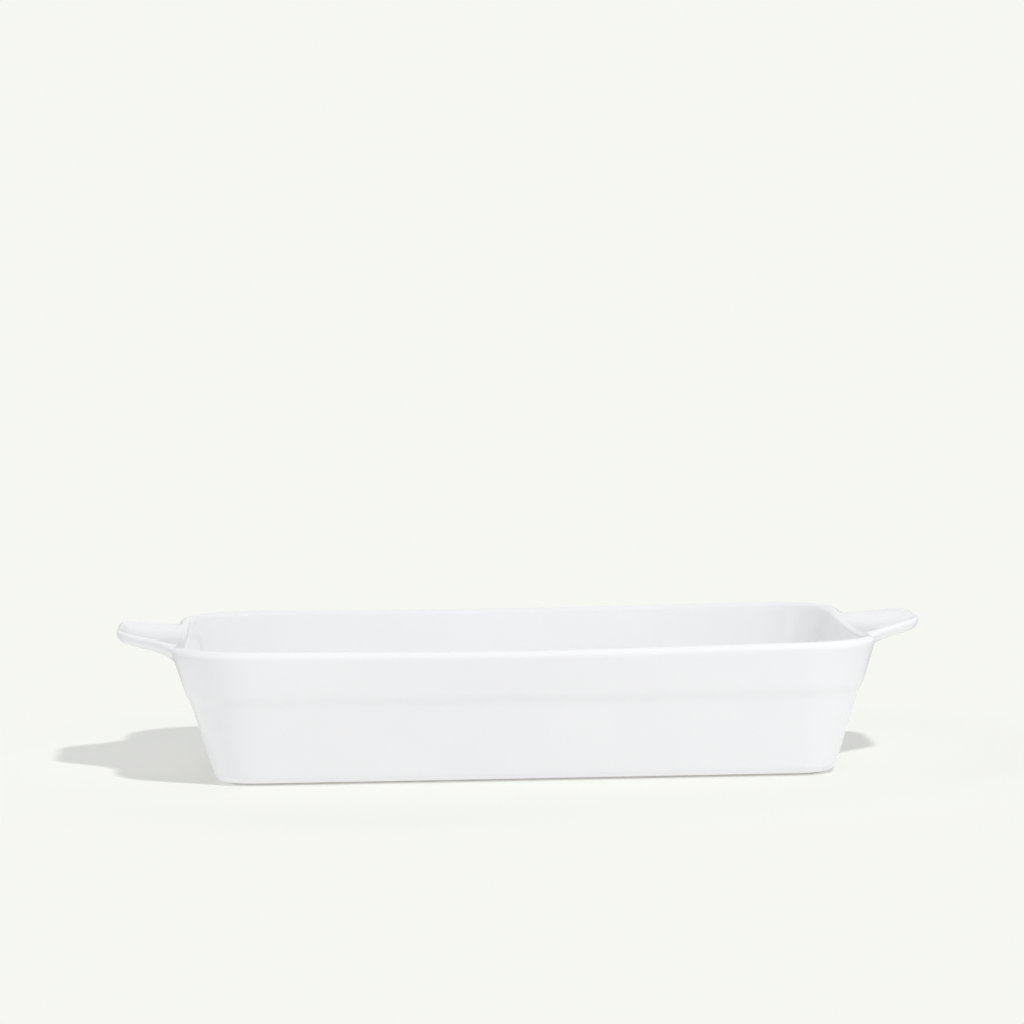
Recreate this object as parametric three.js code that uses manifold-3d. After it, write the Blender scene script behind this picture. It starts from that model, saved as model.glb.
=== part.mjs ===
// A white glazed stoneware baking dish: a flared rectangular basin under a thick rim band,
// a pressed tab handle luted to each end, and the bare clay foot ring that it stands on.
// Millimetres, +Z up, +X along the length. The origin is on the table, under the middle of the dish.

import * as THREE from "three";
import Module from "manifold-3d";

const { degToRad, clamp } = THREE.MathUtils;

// Basin
const RIM_LENGTH = 340; // outside length at the top of the band, before the lip is rounded
const RIM_WIDTH = 235; // outside width there
const HEIGHT = 66; // table to the lip at the corners
const WALL_DRAFT = 17.3; // degrees that the walls lean out
const LIP_WIDTH = 7; // thickness of wall and band together, measured level
const FLOOR_THICKNESS = 6.5;
const BAND_HEIGHT = 25; // lip down to the middle of the step
const BAND_STEP = 1; // how far the band stands out of the wall below it
const BAND_STEP_HEIGHT = 4; // height in which it does so
const BAND_EDGE_RADIUS = 18;
const BOTTOM_EDGE_RADIUS = 8; // outside, where the wall turns under
const FLOOR_FILLET_RADIUS = 12; // inside, where the floor turns up
const SIDE_BOW = 2.5; // outward bow of each long side at the lip
const SIDE_DIP = 1.5; // the lip of a long side dips this much between the corners
const END_DIP = 2; // and the lip of an end this much, where the handle leaves it

// Foot ring
const FOOT_HEIGHT = 0.9;
const FOOT_WIDTH = 7;
const FOOT_SETBACK = 0.6; // from the end of the bottom edge's round
const FOOT_CORNER_RADIUS = 13; // outside, in plan
const FOOT_EDGE_RADIUS = 0.4;

// Handles
const HANDLE_REACH = 27.4; // from the top edge of the band to the tip
const HANDLE_WIDTH = 84; // where it stands out by half its reach
const HANDLE_ROOT_WIDTH = 150; // where the flanks have run out into the band
const FLANK_POWER = 7; // how squarely the flanks leave the tip
const HANDLE_ROOT_TUCK = 2; // the flanks end this far inside the band's face
const HANDLE_SLOPE = 11.7; // degrees that the tab rises outward
const HANDLE_THICKNESS = 6.2; // bead to underside
const BEAD_SLOPE_WIDTH = 3.4; // the bead's inner side, down to the panel
const PANEL_DEPTH = 1.2; // the sunk panel lies this far below the bead
const ROOT_FILLET_RADIUS = 12; // under the tab, into the band
const UNDERSIDE_LEAST = 0.2; // underside left between the edge and the fillet, where the tab runs out
const JOINT_GAP = 0.3; // slip joint between a handle and the band

// Facets
const CORNER_STEPS = 8;
const LONG_SIDE_STEPS = 8;
const END_STEPS = 4;
const LIP_STEPS = 8;
const FILLET_STEPS = 5;
const SMALL_ROUND_STEPS = 2;
const EDGE_STEPS = 10;
const HANDLE_STATIONS = 36;
const FACET = 1; // length over which a flank's slope is taken

// Faces of the wall, each as its outset from the rim's outline at a height
const wallSlope = Math.tan(degToRad(WALL_DRAFT));
const bandFace = (z) => (z - HEIGHT) * wallSlope;
const lowerFace = (z) => bandFace(z) - BAND_STEP;
const innerFace = (z) => bandFace(z) - LIP_WIDTH;

const stepMiddle = HEIGHT - BAND_HEIGHT;
const floorTop = FOOT_HEIGHT + FLOOR_THICKNESS;
const bottomEdgeReach = BOTTOM_EDGE_RADIUS / Math.tan(degToRad(90 + WALL_DRAFT) / 2);
const footOutset = lowerFace(FOOT_HEIGHT) - bottomEdgeReach - FOOT_SETBACK;
const rimCornerRadius = FOOT_CORNER_RADIUS - footOutset;
const sideHalf = RIM_LENGTH / 2 - rimCornerRadius;

// An open section line whose corners are [outset, height, radius, steps], with each radius as an arc.
function roundedLine(corners) {
  const points = corners.map(([x, z]) => new THREE.Vector2(x, z));
  return corners.flatMap(([, , radius, steps], i) => {
    if (!radius) return [points[i]];
    const back = points[i - 1].clone().sub(points[i]).normalize();
    const ahead = points[i + 1].clone().sub(points[i]).normalize();
    const halfAngle = Math.acos(back.dot(ahead)) / 2;
    const reach = radius / Math.tan(halfAngle);
    const middle = back.clone().add(ahead).setLength(radius / Math.sin(halfAngle)).add(points[i]);
    const start = back.clone().multiplyScalar(reach).add(points[i]).sub(middle).angle();
    const end = ahead.clone().multiplyScalar(reach).add(points[i]).sub(middle).angle();
    const clockwise = back.cross(ahead) > 0;
    return new THREE.ArcCurve(middle.x, middle.y, radius, start, end, clockwise).getPoints(steps);
  });
}

// The dish's outline in plan, moved out from the rim's: straight sides and round corners,
// anticlockwise from the right-hand end.
function outline(outset) {
  const radius = rimCornerRadius + outset;
  const cornerY = RIM_WIDTH / 2 - rimCornerRadius;
  const corners = [[1, 1], [-1, 1], [-1, -1], [1, -1]].map(([sideX, sideY], quarter) => {
    const start = (quarter * Math.PI) / 2;
    const arc = new THREE.ArcCurve(sideX * sideHalf, sideY * cornerY, radius, start, start + Math.PI / 2);
    return arc.getPoints(CORNER_STEPS);
  });
  return corners.flatMap((arc, quarter) => {
    const sideStart = arc.at(-1);
    const sideEnd = corners[(quarter + 1) % 4][0];
    const steps = quarter % 2 ? END_STEPS : LONG_SIDE_STEPS;
    const side = [];
    for (let i = 1; i < steps; i += 1) side.push(sideStart.clone().lerp(sideEnd, i / steps));
    return [...arc, ...side];
  });
}

// The fired shape: the long sides bow out with height, and the lip dips between the corners.
function fired({ x, y }, z) {
  const alongSide = Math.cos(Math.PI * clamp(x / RIM_LENGTH, -0.5, 0.5)) ** 2;
  const alongEnd = Math.cos(Math.PI * clamp(y / RIM_WIDTH, -0.5, 0.5)) ** 2;
  const bow = SIDE_BOW * alongSide * (z / HEIGHT) * (2 * y / RIM_WIDTH);
  const lipShare = clamp((z - stepMiddle) / BAND_HEIGHT, 0, 1);
  const dip = lipShare * (SIDE_DIP * alongSide + END_DIP * alongEnd);
  return new THREE.Vector3(x, y + bow, z - dip);
}

const ringAt = ({ x: outset, y: z }) => outline(outset).map((point) => fired(point, z));

// A skin over rings of equal count. With a hub for each end ring the loft is capped,
// and without one it closes on itself.
function loft(rings, hubOf) {
  const count = rings[0].length;
  const points = rings.flat();
  const triangles = [];
  const bands = hubOf ? rings.length - 1 : rings.length;
  for (let j = 0; j < bands; j += 1) {
    const lower = j * count;
    const upper = ((j + 1) % rings.length) * count;
    for (let i = 0; i < count; i += 1) {
      const next = (i + 1) % count;
      triangles.push(lower + i, lower + next, upper + next, lower + i, upper + next, upper + i);
    }
  }
  if (hubOf) {
    const last = (rings.length - 1) * count;
    const firstHub = points.push(hubOf(rings[0])) - 1;
    const lastHub = points.push(hubOf(rings.at(-1))) - 1;
    for (let i = 0; i < count; i += 1) {
      const next = (i + 1) % count;
      triangles.push(firstHub, next, i, lastHub, last + i, last + next);
    }
  }
  return new THREE.BufferGeometry().setFromPoints(points).setIndex(triangles);
}

const ringMiddle = (ring) => new THREE.Vector3(0, 0, ring[0].z);

// The wall's outer line from the underside to the lip's round, moved out by a clearance.
const lipRadius = (LIP_WIDTH / 2) * Math.cos(degToRad(WALL_DRAFT));
const lipMiddle = new THREE.Vector2(bandFace(HEIGHT - lipRadius) - LIP_WIDTH / 2, HEIGHT - lipRadius);
const lipArc = (radius, end) => (
  new THREE.ArcCurve(lipMiddle.x, lipMiddle.y, radius, degToRad(-WALL_DRAFT), end).getPoints(LIP_STEPS)
);

function outerLine(clearance) {
  const stepLow = stepMiddle - BAND_STEP_HEIGHT / 2;
  const stepHigh = stepMiddle + BAND_STEP_HEIGHT / 2;
  return roundedLine([
    [footOutset, FOOT_HEIGHT],
    [lowerFace(FOOT_HEIGHT) + clearance, FOOT_HEIGHT, BOTTOM_EDGE_RADIUS, FILLET_STEPS],
    [lowerFace(stepLow) + clearance, stepLow, BAND_EDGE_RADIUS, SMALL_ROUND_STEPS],
    [bandFace(stepHigh) + clearance, stepHigh, BAND_EDGE_RADIUS, SMALL_ROUND_STEPS],
    [bandFace(lipMiddle.y) + clearance, lipMiddle.y],
  ]).slice(0, -1);
}

function dishBody() {
  const innerLine = roundedLine([
    [innerFace(lipMiddle.y), lipMiddle.y],
    [innerFace(floorTop), floorTop, FLOOR_FILLET_RADIUS, FILLET_STEPS],
    [footOutset - FOOT_WIDTH, floorTop],
  ]).slice(1, -1);
  const lip = lipArc(lipRadius, degToRad(180 - WALL_DRAFT));
  return loft([...outerLine(0), ...lip, ...innerLine].map(ringAt), ringMiddle);
}

// The foot is a flat ring under the basin's floor, with its edges eased where it meets the table.
function footRing() {
  const inside = footOutset - FOOT_WIDTH;
  const section = roundedLine([
    [inside, FOOT_HEIGHT],
    [inside, 0, FOOT_EDGE_RADIUS, SMALL_ROUND_STEPS],
    [footOutset, 0, FOOT_EDGE_RADIUS, SMALL_ROUND_STEPS],
    [footOutset, FOOT_HEIGHT],
  ]);
  return loft(section.map(ringAt));
}

const wasm = await Module();
wasm.setup();

function toSolid(geometry) {
  const vertProperties = new Float32Array(geometry.getAttribute("position").array);
  const triVerts = new Uint32Array(geometry.getIndex().array);
  return new wasm.Manifold(new wasm.Mesh({ numProp: 3, vertProperties, triVerts }));
}

function toGeometry(solid) {
  const { vertProperties, triVerts } = solid.getMesh();
  const geometry = new THREE.BufferGeometry();
  geometry.setAttribute("position", new THREE.BufferAttribute(vertProperties, 3));
  return geometry.setIndex(new THREE.BufferAttribute(triVerts, 1));
}

// The space of the basin and everything above its lip, grown by the slip joint.
// The handles leave it free.
function basinSpace() {
  const lip = lipArc(lipRadius + JOINT_GAP, Math.PI / 2);
  const above = new THREE.Vector2(lipMiddle.x, HEIGHT + HANDLE_REACH);
  return loft([...outerLine(JOINT_GAP), ...lip, above].map(ringAt), ringMiddle);
}

// A tab handle at the right-hand end. Sections across the end run from inside the band
// out to the tab's edge, and the bead follows that edge from flank to flank.
function tabHandle() {
  const rise = Math.tan(degToRad(HANDLE_SLOPE));

  // The tip is bowed, and the flanks run out slowly from it to the root
  const reachAt = (y) => (
    (HANDLE_REACH + HANDLE_ROOT_TUCK) / (1 + Math.abs(2 * y / HANDLE_WIDTH) ** FLANK_POWER) - HANDLE_ROOT_TUCK
  );
  const slopeAt = (y) => (reachAt(y - FACET / 2) - reachAt(y + FACET / 2)) / FACET;

  // Edge of the tab as distances in from its outline and down from the bead
  const roundRadius = HANDLE_THICKNESS / 2;
  const panelEdge = roundRadius + BEAD_SLOPE_WIDTH;
  const beadSlope = roundedLine([
    [panelEdge + BEAD_SLOPE_WIDTH, PANEL_DEPTH],
    [panelEdge, PANEL_DEPTH, BEAD_SLOPE_WIDTH, SMALL_ROUND_STEPS],
    [roundRadius, 0],
  ]).slice(1, -1);
  const top = degToRad(270);
  const bottom = degToRad(90);
  const edgeRound = new THREE.ArcCurve(roundRadius, roundRadius, roundRadius, top, bottom, true);
  const edge = [...beadSlope, ...edgeRound.getPoints(EDGE_STEPS)];

  // Fillet from the underside down into the band's face
  const faceAt = (below) => bandFace(HEIGHT - below) / (1 - rise * wallSlope);
  const onFace = HANDLE_THICKNESS + ROOT_FILLET_RADIUS;
  const fillet = roundedLine([
    [HANDLE_REACH, HANDLE_THICKNESS],
    [faceAt(HANDLE_THICKNESS), HANDLE_THICKNESS, ROOT_FILLET_RADIUS, FILLET_STEPS],
    [faceAt(onFace), onFace],
  ]).slice(1, -1);
  const rootInside = lipMiddle.x - LIP_WIDTH;

  const section = (y) => {
    const stretch = Math.hypot(1, slopeAt(y));
    const rim = edge.map((point) => [reachAt(y) - point.x * stretch, point.y]);
    const overrun = Math.max(fillet[0].x + UNDERSIDE_LEAST - rim.at(-1)[0], 0);
    const under = fillet.map((point) => [point.x - overrun, point.y]);
    const inside = Math.min(rootInside, rim[0][0], under.at(-1)[0]) - LIP_WIDTH;
    return [[inside, PANEL_DEPTH], ...rim, ...under, [inside, fillet.at(-1).y]].map(([out, below]) => (
      fired({ x: RIM_LENGTH / 2 + out, y }, HEIGHT + out * rise - below)
    ));
  };

  const sections = [];
  for (let i = 0; i <= HANDLE_STATIONS; i += 1) {
    sections.push(section((i / HANDLE_STATIONS - 0.5) * HANDLE_ROOT_WIDTH));
  }
  const inward = new THREE.Vector3(LIP_WIDTH / 2, 0, PANEL_DEPTH - HANDLE_THICKNESS / 2);
  const rootMiddle = (ring) => ring[0].clone().add(inward);
  return toGeometry(toSolid(loft(sections, rootMiddle)).subtract(toSolid(basinSpace())));
}

const glaze = new THREE.MeshStandardMaterial({ color: 0xf0f0f1, roughness: 0.16, metalness: 0 });
const bareClay = new THREE.MeshStandardMaterial({ color: 0xbcb8b3, roughness: 0.9, metalness: 0 });

function piece(name, geometry, material, turn = 0) {
  const mesh = new THREE.Mesh(geometry, material);
  mesh.name = name;
  mesh.rotation.z = turn;
  return mesh;
}

const handle = tabHandle();
const dish = new THREE.Group();
dish.add(
  piece("dish_body", dishBody(), glaze),
  piece("foot_ring", footRing(), bareClay),
  piece("right_handle", handle, glaze),
  piece("left_handle", handle, glaze, Math.PI),
);

export default dish;
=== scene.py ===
import math

import bmesh
import bpy
from mathutils import Matrix, Quaternion, Vector


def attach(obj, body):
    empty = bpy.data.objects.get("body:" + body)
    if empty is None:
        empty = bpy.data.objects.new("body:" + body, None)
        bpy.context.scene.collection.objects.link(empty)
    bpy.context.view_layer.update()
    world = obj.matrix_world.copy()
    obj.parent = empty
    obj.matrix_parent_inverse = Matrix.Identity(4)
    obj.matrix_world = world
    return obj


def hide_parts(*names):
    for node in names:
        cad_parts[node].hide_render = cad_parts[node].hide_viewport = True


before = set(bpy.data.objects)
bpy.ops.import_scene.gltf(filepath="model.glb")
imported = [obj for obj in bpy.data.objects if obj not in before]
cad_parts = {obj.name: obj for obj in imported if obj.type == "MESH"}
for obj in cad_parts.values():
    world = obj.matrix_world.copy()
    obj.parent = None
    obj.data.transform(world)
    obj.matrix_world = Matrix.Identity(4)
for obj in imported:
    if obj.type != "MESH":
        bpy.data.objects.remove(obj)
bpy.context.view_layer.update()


# Dish body: the basin with its flared walls, the thick band round the rim and the rounded lip.
# It is white-glazed stoneware, pressed in one piece over a mould, and the lip is sponged round.
# In the kiln the long sides bow out a little, and the lip dips between the corners.
RIM_LENGTH = 0.340
RIM_WIDTH = 0.235
HEIGHT = 0.066
WALL_DRAFT = math.radians(17.3)
WALL_SLOPE = math.tan(WALL_DRAFT)
LIP_WIDTH = 0.007
LIP_RADIUS = LIP_WIDTH / 2 * math.cos(WALL_DRAFT)
LIP_ROUND_SHARE = 0.99
FLOOR_TOP = 0.0074
BAND_LOW = 0.043
STEP_LOW = 0.039
STEP_WIDTH = 0.001
STEP_RADIUS = 0.018
BOTTOM_EDGE_RADIUS = 0.005
FLOOR_FILLET_RADIUS = 0.012
FOOT_HEIGHT = 0.0009
FOOT_OUTSET = -0.02776
FOOT_CORNER_RADIUS = 0.013
FOOT_WIDTH = 0.007
SIDE_BOW = 0.0024
SIDE_DIP = 0.0015
END_DIP = 0.002
SIDES = 4
CORNER_SEGMENTS = 8
SIDE_CUTS = 11
TALL_EDGE = 0.006
TALL_CUTS = 4
SAME_PLACE = 1e-6
SHARP_TURN = math.radians(60)
ROUND_PROFILE = 0.5
UNIT_HALF = 0.5


def band_outset(z):
    """How far the band's face stands out of the rim's outline at a height."""
    return (z - HEIGHT) * WALL_SLOPE


def outline(mesh, outset, z):
    """The dish's plan as one level face: a rectangle with round corners, moved out by an outset."""
    corners = bmesh.ops.create_grid(mesh, x_segments=1, y_segments=1, size=UNIT_HALF)["verts"]
    bmesh.ops.scale(mesh, vec=(RIM_LENGTH + 2 * outset, RIM_WIDTH + 2 * outset, 1), verts=corners)
    bmesh.ops.translate(mesh, vec=(0, 0, z), verts=corners)
    rounded = bmesh.ops.bevel(
        mesh, geom=corners, offset=FOOT_CORNER_RADIUS - FOOT_OUTSET + outset, affect="VERTICES",
        segments=CORNER_SEGMENTS, profile=ROUND_PROFILE,
    )
    face = rounded["verts"][0].link_faces[0]
    straight = sorted(face.edges, key=lambda edge: edge.calc_length())[-SIDES:]
    bmesh.ops.subdivide_edges(mesh, edges=straight, cuts=SIDE_CUTS)
    return face


def draw_in(mesh, face, width, height):
    """Draws a face in by a width and moves it along its normal. Gives the ring of edges it ends on."""
    bmesh.ops.inset_region(
        mesh, faces=[face], thickness=width, depth=height, use_even_offset=True, use_boundary=True,
    )
    return list(face.edges)


def round_ring(mesh, ring, radius, clay_angle, segments):
    """Rounds a ring of edges, where the clay inside the corner fills an angle."""
    bmesh.ops.bevel(
        mesh, geom=ring, offset=radius / math.tan(clay_angle / 2), affect="EDGES",
        segments=segments, profile=ROUND_PROFILE,
    )


def fired(point):
    """Where a point of the soft clay ends up after firing."""
    along_side = math.cos(math.pi * point.x / RIM_LENGTH) ** 2 if abs(point.x) < RIM_LENGTH / 2 else 0
    along_end = math.cos(math.pi * point.y / RIM_WIDTH) ** 2
    lip_share = min(max((point.z - STEP_LOW) / (HEIGHT - STEP_LOW), 0), 1)
    dip = lip_share * (SIDE_DIP * along_side + END_DIP * along_end)
    bow = SIDE_BOW * along_side * point.z / HEIGHT * 2 * point.y / RIM_WIDTH
    return Vector((point.x, point.y + bow, point.z - dip))


shell = bmesh.new()
inside = outline(shell, 0, HEIGHT)
outside = outline(shell, 0, HEIGHT)
bmesh.ops.reverse_faces(shell, faces=[outside])

step_rise = BAND_LOW - STEP_LOW
wall_height = STEP_LOW - FOOT_HEIGHT
lip_inner = draw_in(shell, inside, LIP_WIDTH, 0)
floor_edge = draw_in(shell, inside, (HEIGHT - FLOOR_TOP) * WALL_SLOPE, FLOOR_TOP - HEIGHT)
band_edge = draw_in(shell, outside, (HEIGHT - BAND_LOW) * WALL_SLOPE, HEIGHT - BAND_LOW)
wall_edge = draw_in(shell, outside, step_rise * WALL_SLOPE + STEP_WIDTH, step_rise)
bottom_edge = draw_in(shell, outside, wall_height * WALL_SLOPE, wall_height)
bmesh.ops.remove_doubles(shell, verts=shell.verts, dist=SAME_PLACE)
shell.normal_update()

lip_outer = [
    edge for edge in shell.edges
    if edge not in lip_inner and all(abs(vert.co.z - HEIGHT) < SAME_PLACE for vert in edge.verts)
    and edge.calc_face_angle() > SHARP_TURN
]
acute = math.pi / 2 - WALL_DRAFT
obtuse = math.pi / 2 + WALL_DRAFT
step_lean = math.atan2(step_rise * WALL_SLOPE + STEP_WIDTH, step_rise)
step_angle = math.pi - step_lean + WALL_DRAFT
round_ring(shell, lip_outer, LIP_RADIUS * LIP_ROUND_SHARE, acute, segments=8)
round_ring(shell, lip_inner, LIP_RADIUS * LIP_ROUND_SHARE, obtuse, segments=6)
round_ring(shell, band_edge, STEP_RADIUS, step_angle, segments=2)
round_ring(shell, wall_edge, STEP_RADIUS, step_angle, segments=2)
round_ring(shell, bottom_edge, BOTTOM_EDGE_RADIUS, obtuse, segments=5)
round_ring(shell, floor_edge, FLOOR_FILLET_RADIUS, obtuse, segments=6)
tall = [edge for edge in shell.edges if abs(edge.verts[0].co.z - edge.verts[1].co.z) > TALL_EDGE]
bmesh.ops.subdivide_edges(shell, edges=tall, cuts=TALL_CUTS, use_grid_fill=True)
for vert in shell.verts:
    vert.co = fired(vert.co)


def piece(name, mesh, subdivisions):
    """Makes a smooth object of a mesh, refined by subdivision, that goes with the dish."""
    data = bpy.data.meshes.new(name)
    mesh.to_mesh(data)
    mesh.free()
    data.shade_smooth()
    made = bpy.data.objects.new(name, data)
    bpy.context.scene.collection.objects.link(made)
    if subdivisions:
        finer = made.modifiers.new("finer", "SUBSURF")
        finer.levels = finer.render_levels = subdivisions
    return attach(made, "root")


def node_maker(tree):
    """Gives a function that adds nodes to a tree."""

    def add(kind, sockets, output=0, **settings):
        """Adds a node, with links or values for its sockets, and gives one of its outputs."""
        node = tree.nodes.new(kind)
        for key, value in settings.items():
            setattr(node, key, value)
        for socket, value in sockets.items():
            if isinstance(value, bpy.types.NodeSocket):
                tree.links.new(value, node.inputs[socket])
            else:
                node.inputs[socket].default_value = value
        return node.outputs[output]

    return add


def new_finish(name):
    """A new material, its node tree and the function that adds a node to it."""
    finish = bpy.data.materials.new(name)
    finish.use_nodes = True
    return finish, finish.node_tree, node_maker(finish.node_tree)


def tint(tree, factor, low, high, start=0.0, end=1.0):
    """A colour that goes from low to high with a factor."""
    ramp = tree.nodes.new("ShaderNodeValToRGB")
    tree.links.new(factor, ramp.inputs["Fac"])
    first, last = ramp.color_ramp.elements
    first.color, last.color = (*low, 1), (*high, 1)
    first.position, last.position = start, end
    return ramp.outputs["Color"]


def dress(tree, color, roughness, bump):
    """Feeds the shader of a finish."""
    shader = tree.nodes["Principled BSDF"]
    tree.links.new(color, shader.inputs["Base Color"])
    tree.links.new(roughness, shader.inputs["Roughness"])
    tree.links.new(bump, shader.inputs["Normal"])


# Glaze: milky where it has pooled, a shade clearer elsewhere, with the soft ripple of fired glass.
CLEAR_GLAZE = (0.855, 0.856, 0.862)
MILKY_GLAZE = (0.875, 0.876, 0.880)
CLOUD_SCALE = 13
RIPPLE_SCALE = 45
RIPPLE_HEIGHT = 0.0012
RIPPLE_STRENGTH = 0.10
PEEL_SCALE = 520
PEEL_HEIGHT = 0.0002
PEEL_STRENGTH = 0.06
SMOOTHEST_GLAZE = 0.07
ROUGHEST_GLAZE = 0.16
NOISE_SPAN = (0.3, 0.7)

white_glaze, glaze_tree, add = new_finish("white_glaze")
on_dish = add("ShaderNodeTexCoord", {}, output="Object")
clouds = add("ShaderNodeTexNoise", {"Vector": on_dish, "Scale": CLOUD_SCALE, "Detail": 3})
ripple = add("ShaderNodeTexNoise", {"Vector": on_dish, "Scale": RIPPLE_SCALE, "Detail": 2})
peel = add("ShaderNodeTexNoise", {"Vector": on_dish, "Scale": PEEL_SCALE, "Detail": 1})
waves = add(
    "ShaderNodeBump", {"Height": ripple, "Strength": RIPPLE_STRENGTH, "Distance": RIPPLE_HEIGHT},
)
skin = add(
    "ShaderNodeBump",
    {"Height": peel, "Strength": PEEL_STRENGTH, "Distance": PEEL_HEIGHT, "Normal": waves},
)
gloss = add(
    "ShaderNodeMapRange", {"Value": clouds, "To Min": SMOOTHEST_GLAZE, "To Max": ROUGHEST_GLAZE},
)
glaze_color = tint(glaze_tree, clouds, CLEAR_GLAZE, MILKY_GLAZE, *NOISE_SPAN)
dress(glaze_tree, glaze_color, gloss, skin)

basin = piece("basin", shell, subdivisions=2)
basin.data.materials.append(white_glaze)
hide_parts("dish_body")


# Foot ring: the low rim under the floor that the dish stands on.
# The glaze is wiped off it before firing, and the bare stoneware is ground flat.
FOOT_EDGE_RADIUS = 0.0004
# The clay's grey is partly the bare stoneware's own tone and partly painted shade, dark enough to give
# the contact line under the dish.
DARK_CLAY_AND_SHADE = (0.43, 0.415, 0.39)
PALE_CLAY_AND_SHADE = (0.57, 0.545, 0.51)
CLAY_TONE_SCALE = 90
GRIT_SCALE = 1400
GRIT_HEIGHT = 0.0002
GRIT_STRENGTH = 0.35
SMOOTHEST_CLAY = 0.8
ROUGHEST_CLAY = 0.95

ring = bmesh.new()
sole = outline(ring, FOOT_OUTSET, 0)
draw_in(ring, sole, FOOT_WIDTH, 0)
bmesh.ops.delete(ring, geom=[sole], context="FACES_ONLY")
raised = bmesh.ops.extrude_face_region(ring, geom=ring.faces[:])["geom"]
raised = [vert for vert in raised if isinstance(vert, bmesh.types.BMVert)]
bmesh.ops.translate(ring, vec=(0, 0, FOOT_HEIGHT), verts=raised)
bmesh.ops.recalc_face_normals(ring, faces=ring.faces)
worn = [
    edge for edge in ring.edges
    if edge.calc_face_angle() > SHARP_TURN and all(vert.co.z < FOOT_HEIGHT / 2 for vert in edge.verts)
]
round_ring(ring, worn, FOOT_EDGE_RADIUS, math.pi / 2, segments=3)
for vert in ring.verts:
    vert.co = fired(vert.co)

bare_stoneware, clay_tree, add = new_finish("bare_stoneware")
on_foot = add("ShaderNodeTexCoord", {}, output="Object")
body_tone = add("ShaderNodeTexNoise", {"Vector": on_foot, "Scale": CLAY_TONE_SCALE, "Detail": 6})
grit = add("ShaderNodeTexVoronoi", {"Vector": on_foot, "Scale": GRIT_SCALE})
ground = add("ShaderNodeBump", {"Height": grit, "Strength": GRIT_STRENGTH, "Distance": GRIT_HEIGHT})
chalky = add(
    "ShaderNodeMapRange", {"Value": grit, "To Min": SMOOTHEST_CLAY, "To Max": ROUGHEST_CLAY},
)
# Clay tone with painted shade: darker than the bare stoneware alone, for the contact line.
clay_and_shade_color = tint(clay_tree, body_tone, DARK_CLAY_AND_SHADE, PALE_CLAY_AND_SHADE, *NOISE_SPAN)
dress(clay_tree, clay_and_shade_color, chalky, ground)

foot = piece("bare_foot", ring, subdivisions=0)
foot.data.materials.append(bare_stoneware)
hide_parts("foot_ring")


# Tab handles: one at each end, pressed in a mould and luted to the band with slip, then glazed with it.
# Each rises outward, with a bead round its edge and a sunk panel that runs up onto the lip.
# Its flanks flare into the band, and a fillet fills the corner under it.
HANDLE_REACH = 0.0274
TAB_HALF = 0.042
FLANK_POWER = 7
ROOT_HALF = 0.075
HANDLE_SLOPE = math.tan(math.radians(11.2))
UPPER_ROUND = 0.0019
LOWER_ROUND = 0.0043
BEAD_SLOPE_WIDTH = 0.0034
PANEL_DEPTH = 0.0012
PANEL_START = -0.0008
PANEL_RUN = 0.010
ROOT_FILLET = 0.0105
LEAST_FILLET = 0.0002
FULL_SHAPE_REACH = 0.005
ROOT_LOW = 0.0465
ROOT_TUCK = 0.0003
LIP_ANGLES = (94, 84)
PANEL_SHARES = (0.06, 0.25, 0.6, 1)
UPPER_ANGLES = (60, 30, 0)
LOWER_ANGLES = (30, 60, 90)
FILLET_SHARES = (0, 0.33, 0.67, 1)
STATIONS = 48
SHORT_WAY = 0.0005


def ease(share):
    """Goes smoothly from 0 to 1."""
    share = min(max(share, 0), 1)
    return share * share * (3 - 2 * share)


def lip_point(degrees, tuck=0):
    """A point of the lip's round, as its outset and height, or one that is tucked into the clay."""
    angle = math.radians(degrees)
    middle = HEIGHT - LIP_RADIUS
    radius = LIP_RADIUS - tuck
    return Vector((
        band_outset(middle) - LIP_WIDTH / 2 + radius * math.cos(angle),
        middle + radius * math.sin(angle),
    ))


def hidden_root(upper_count, lower_count):
    """Points inside the clay for where a handle has run out: upper ones in the lip, lower in the band."""
    face_top = -math.degrees(WALL_DRAFT)
    turn = LIP_ANGLES[0] - face_top
    top = lip_point(face_top, ROOT_TUCK)
    low = Vector((band_outset(ROOT_LOW) - ROOT_TUCK, ROOT_LOW))
    lip = [
        lip_point(LIP_ANGLES[0] - turn * index / upper_count, ROOT_TUCK) for index in range(upper_count)
    ]
    band = [top.lerp(low, index / (lower_count - 1)) for index in range(lower_count)]
    return lip + band


def reach_at(y):
    """How far a handle stands out along the end: a bowed tip, and flanks that run out slowly."""
    return HANDLE_REACH / (1 + abs(y / TAB_HALF) ** FLANK_POWER)


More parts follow.
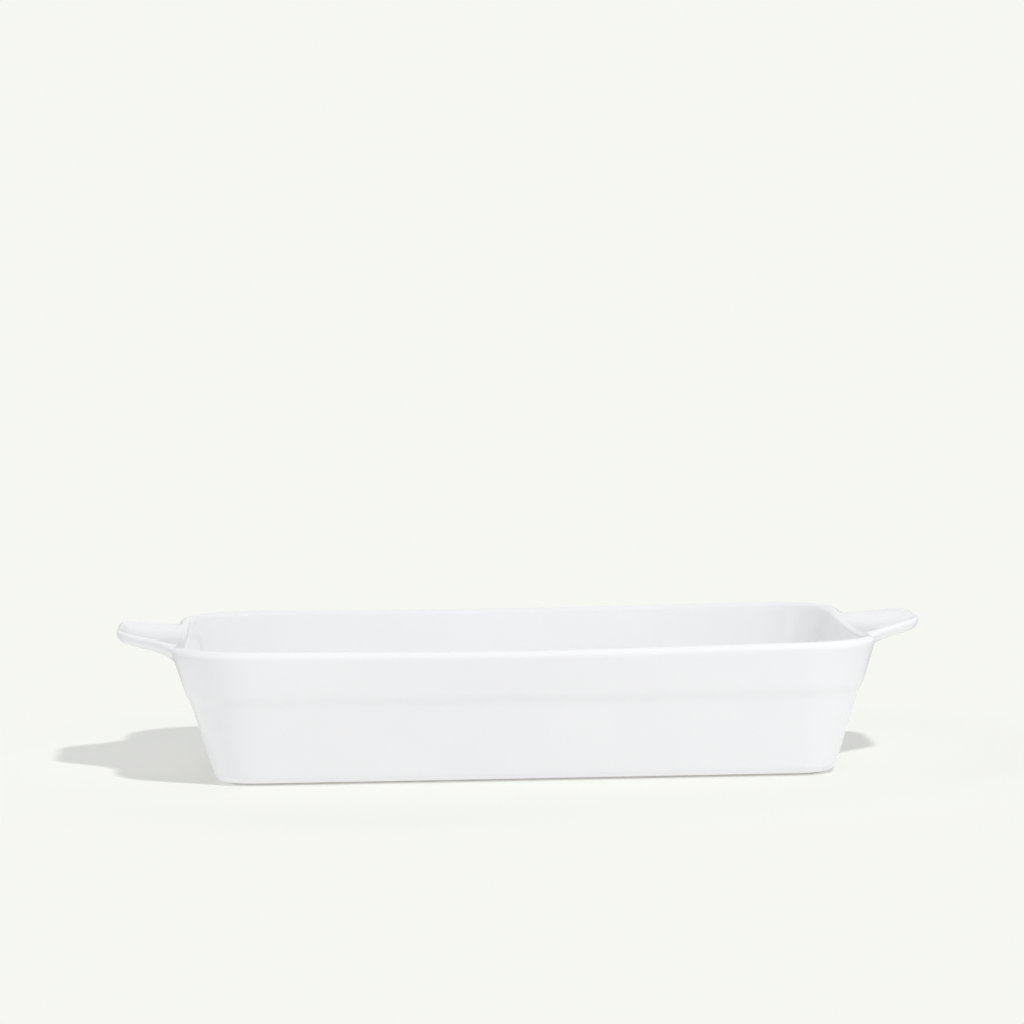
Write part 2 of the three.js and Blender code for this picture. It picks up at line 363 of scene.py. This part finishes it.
def tab_section(y):
    """A handle's section at a place along the end: lip, panel, bead, edge, underside and root fillet."""
    reach = reach_at(y)
    slant = (reach_at(y - SHORT_WAY) - reach_at(y + SHORT_WAY)) / (2 * SHORT_WAY)
    stretch = math.hypot(1, slant)
    thickness = UPPER_ROUND + LOWER_ROUND

    def at(out, below):
        """A point some way out from the rim and some way below the rising top of the bead."""
        return Vector((out, HEIGHT + out * HANDLE_SLOPE - below))

    def sunk(out):
        """How far the panel lies below the bead's top: not at all where it runs up onto the lip."""
        return PANEL_DEPTH * ease(out / PANEL_RUN)

    bead = reach - UPPER_ROUND * stretch
    keel = reach - LOWER_ROUND * stretch
    panel_edge = max(bead - BEAD_SLOPE_WIDTH * stretch, PANEL_START)
    points = [lip_point(LIP_ANGLES[0], ROOT_TUCK), lip_point(LIP_ANGLES[1])]
    for share in PANEL_SHARES:
        out = PANEL_START + (panel_edge - PANEL_START) * share
        points.append(at(out, sunk(out)))
    points.append(at((panel_edge + bead) / 2, sunk(panel_edge) / 2))
    points.append(at(bead, 0))
    for degrees in UPPER_ANGLES:
        side, up = math.cos(math.radians(degrees)), math.sin(math.radians(degrees))
        points.append(at(bead + UPPER_ROUND * stretch * side, UPPER_ROUND - UPPER_ROUND * up))
    upper_count = len(points)
    for degrees in LOWER_ANGLES:
        side, down = math.cos(math.radians(degrees)), math.sin(math.radians(degrees))
        points.append(at(keel + LOWER_ROUND * stretch * side, UPPER_ROUND + LOWER_ROUND * down))

    root_z = HEIGHT - thickness / (1 - HANDLE_SLOPE * WALL_SLOPE)
    corner = Vector((band_outset(root_z), root_z))
    start = at(corner.x + min(max(keel - corner.x, LEAST_FILLET), ROOT_FILLET), thickness)
    end_z = root_z - ROOT_FILLET
    end = Vector((band_outset(end_z), end_z))
    for share in FILLET_SHARES:
        points.append(start.lerp(corner, share).lerp(corner.lerp(end, share), share))
    points.append(Vector((band_outset(ROOT_LOW) - ROOT_TUCK, ROOT_LOW)))

    grown = ease(reach / FULL_SHAPE_REACH)
    hidden = hidden_root(upper_count, len(points) - upper_count)
    return [tucked.lerp(shaped, grown) for tucked, shaped in zip(hidden, points)]


def tab(turn):
    """The handle at the right-hand end, turned about the middle of the dish, with its root closed."""
    rows = len(tab_section(0))
    mesh = bmesh.new()
    crease = mesh.edges.layers.float.new("crease_edge")
    bmesh.ops.create_grid(mesh, x_segments=rows - 1, y_segments=STATIONS, size=UNIT_HALF)
    for vert in mesh.verts:
        y = vert.co.y / UNIT_HALF * ROOT_HALF
        row = round((vert.co.x + UNIT_HALF) * (rows - 1))
        out, z = tab_section(y)[row]
        vert.co = fired(Vector((RIM_LENGTH / 2 + out, y, z)))
    rim = [edge for edge in mesh.edges if edge.is_boundary]
    for edge in rim:
        edge[crease] = 1
        edge.smooth = False
    bmesh.ops.edgeloop_fill(mesh, edges=rim)
    bmesh.ops.recalc_face_normals(mesh, faces=mesh.faces)
    bmesh.ops.rotate(mesh, verts=mesh.verts, matrix=Matrix.Rotation(turn, 3, "Z"))
    return mesh


for side, turn in (("right", 0), ("left", math.pi)):
    handle = piece(f"{side}_tab", tab(turn), subdivisions=2)
    handle.data.materials.append(white_glaze)
    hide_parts(f"{side}_handle")


# Studio: a pale paper sweep in even light, with a small bright lamp in front to the right.
# Away from the dish the paper shows its own even tone, so that it has no edge and no corner.
# The glaze mirrors the paper close by, and beyond it a grey room under a pale ceiling.
PAPER = (0.922, 0.931, 0.888, 1)
# Close to the dish the paper's colour is painted darker on the lamp's side and lighter beyond it, against
# the lamp's falloff.
PAPER_BY_LAMP = (0.787, 0.794, 0.755)
PAPER_BEYOND = (0.893, 0.901, 0.857)
# A faint painted glow on the paper near the dish, which lifts the shade and shadow there.
PAPER_GLOW = 0.02
BOUNCE = (0.98, 0.98, 0.985, 1)
ROOM = (0.55, 0.55, 0.56, 1)
CEILING = (0.95, 0.95, 0.96)
ROOM_RISE = 0.045
CEILING_RISE = 0.12
EVEN_LIGHT = (0.98, 0.985, 1, 1)
EVEN_LEVEL = 0.75
PAPER_HALF = 30
SHADOW_RADIUS = 0.235
EVEN_RADIUS = 0.32
AWAY_FROM_LAMP = (-0.43, 0.90, 0)
LAMP_SIDE = -0.18
FAR_SIDE = 0.15

sweep = bmesh.new()
bmesh.ops.create_grid(sweep, x_segments=1, y_segments=1, size=PAPER_HALF)
paper_sheet = bpy.data.meshes.new("paper")
sweep.to_mesh(paper_sheet)
sweep.free()
floor = bpy.data.objects.new("paper", paper_sheet)
bpy.context.scene.collection.objects.link(floor)

paper, paper_tree, add = new_finish("paper")
on_paper = add("ShaderNodeTexCoord", {}, output="Object")
from_dish = add("ShaderNodeVectorMath", {0: on_paper}, output="Value", operation="LENGTH")
from_lamp = add(
    "ShaderNodeVectorMath", {0: on_paper, 1: AWAY_FROM_LAMP}, output="Value", operation="DOT_PRODUCT",
)
away = add(
    "ShaderNodeMapRange", {"Value": from_dish, "From Min": SHADOW_RADIUS, "From Max": EVEN_RADIUS},
    interpolation_type="SMOOTHSTEP",
)
beyond = add("ShaderNodeMapRange", {"Value": from_lamp, "From Min": LAMP_SIDE, "From Max": FAR_SIDE})
paper_rays = paper_tree.nodes.new("ShaderNodeLightPath").outputs
to_camera = paper_rays["Is Camera Ray"]
in_glaze = paper_rays["Is Glossy Ray"]
seen = add("ShaderNodeMath", {0: to_camera, 1: in_glaze}, operation="MAXIMUM")
glow = add("ShaderNodeEmission", {"Color": PAPER, "Strength": PAPER_GLOW})
# Painted light and shade: the lit paper is darker towards the lamp and lighter away from it.
lit = add("ShaderNodeBsdfDiffuse", {"Color": tint(paper_tree, beyond, PAPER_BY_LAMP, PAPER_BEYOND)})
near_tone = add("ShaderNodeAddShader", {0: glow, 1: lit})
even_tone = add("ShaderNodeEmission", {"Color": PAPER})
room_tone = add("ShaderNodeEmission", {"Color": ROOM})
far_tone = add("ShaderNodeMixShader", {"Fac": in_glaze, 1: even_tone, 2: room_tone})
paper_tone = add("ShaderNodeMixShader", {"Fac": away, 1: near_tone, 2: far_tone})
bounce = add("ShaderNodeEmission", {"Color": BOUNCE})
seen_tone = add("ShaderNodeMixShader", {"Fac": seen, 1: bounce, 2: paper_tone})
paper_tree.links.new(seen_tone, paper_tree.nodes["Material Output"].inputs["Surface"])
paper_tree.nodes.remove(paper_tree.nodes["Principled BSDF"])
floor.data.materials.append(paper)

studio = bpy.data.worlds.new("studio")
studio.use_nodes = True
bpy.context.scene.world = studio
studio_tree = studio.node_tree
studio_tree.nodes.remove(studio_tree.nodes["Background"])
add = node_maker(studio_tree)
direction = add("ShaderNodeTexCoord", {}, output="Generated")
rise = add("ShaderNodeSeparateXYZ", {"Vector": direction}, output="Z")
mirrored_color = tint(studio_tree, rise, ROOM[:3], CEILING, ROOM_RISE, CEILING_RISE)
studio_rays = studio_tree.nodes.new("ShaderNodeLightPath").outputs
even_light = add("ShaderNodeBackground", {"Color": EVEN_LIGHT, "Strength": EVEN_LEVEL})
mirrored = add("ShaderNodeBackground", {"Color": mirrored_color})
backdrop = add("ShaderNodeBackground", {"Color": PAPER})
unseen = add("ShaderNodeMixShader", {"Fac": studio_rays["Is Glossy Ray"], 1: even_light, 2: mirrored})
around = add("ShaderNodeMixShader", {"Fac": studio_rays["Is Camera Ray"], 1: unseen, 2: backdrop})
studio_tree.links.new(around, studio_tree.nodes["World Output"].inputs["Surface"])

# Lamps: the key, a share of it that falls on the paper alone, and a weak fill at each side.
KEY_PLACE = Vector((0.575, -1.21, 1.62))
KEY_SIZE = (0.137, 0.137)

paper_alone = bpy.data.collections.new("paper_alone")
paper_alone.objects.link(floor)
for name, place, size, power, lit_alone in (
    ("key", KEY_PLACE, KEY_SIZE, 12.7, None),
    ("paper_key", KEY_PLACE, KEY_SIZE, 5.1, paper_alone),
    ("right_fill", Vector((0.7, -0.4, 0.12)), (0.6, 0.2), 0.26, None),
    ("left_fill", Vector((-0.9, -0.35, 0.45)), (0.4, 0.4), 0.25, None),
):
    lamp = bpy.data.lights.new(name, "AREA")
    lamp.shape = "RECTANGLE"
    lamp.size, lamp.size_y = size
    lamp.energy = power
    stand = bpy.data.objects.new(name, lamp)
    stand.location = place
    stand.rotation_euler = (-place).to_track_quat("-Z", "Y").to_euler()
    stand.light_linking.receiver_collection = lit_alone
    bpy.context.scene.collection.objects.link(stand)


# Camera: a long lens a little above the rim, as the dish is seen in the photograph.
# It looks at the dish from the front, a little from the left, and leans by less than a degree.
DISH_MIDDLE = Vector((0, 0, 0.032))
AIM = Vector((-0.0017, 0, 0.1224))
LENS_LENGTH = 169.71
CAMERA_DISTANCE = 2.3966
CAMERA_SIDE = math.radians(-2.5214)
CAMERA_RISE = math.radians(5.986)
CAMERA_ROLL = math.radians(-0.81)

lens = bpy.data.cameras.new("camera")
lens.lens = LENS_LENGTH
camera = bpy.data.objects.new("camera", lens)
towards = Vector((
    -math.sin(CAMERA_SIDE) * math.cos(CAMERA_RISE),
    math.cos(CAMERA_SIDE) * math.cos(CAMERA_RISE),
    -math.sin(CAMERA_RISE),
))
camera.location = DISH_MIDDLE - towards * CAMERA_DISTANCE
level = (AIM - camera.location).to_track_quat("-Z", "Y")
camera.rotation_euler = (level @ Quaternion((0, 0, 1), CAMERA_ROLL)).to_euler()
bpy.context.scene.collection.objects.link(camera)
bpy.context.scene.camera = camera
bpy.context.scene.view_settings.view_transform = "Standard"
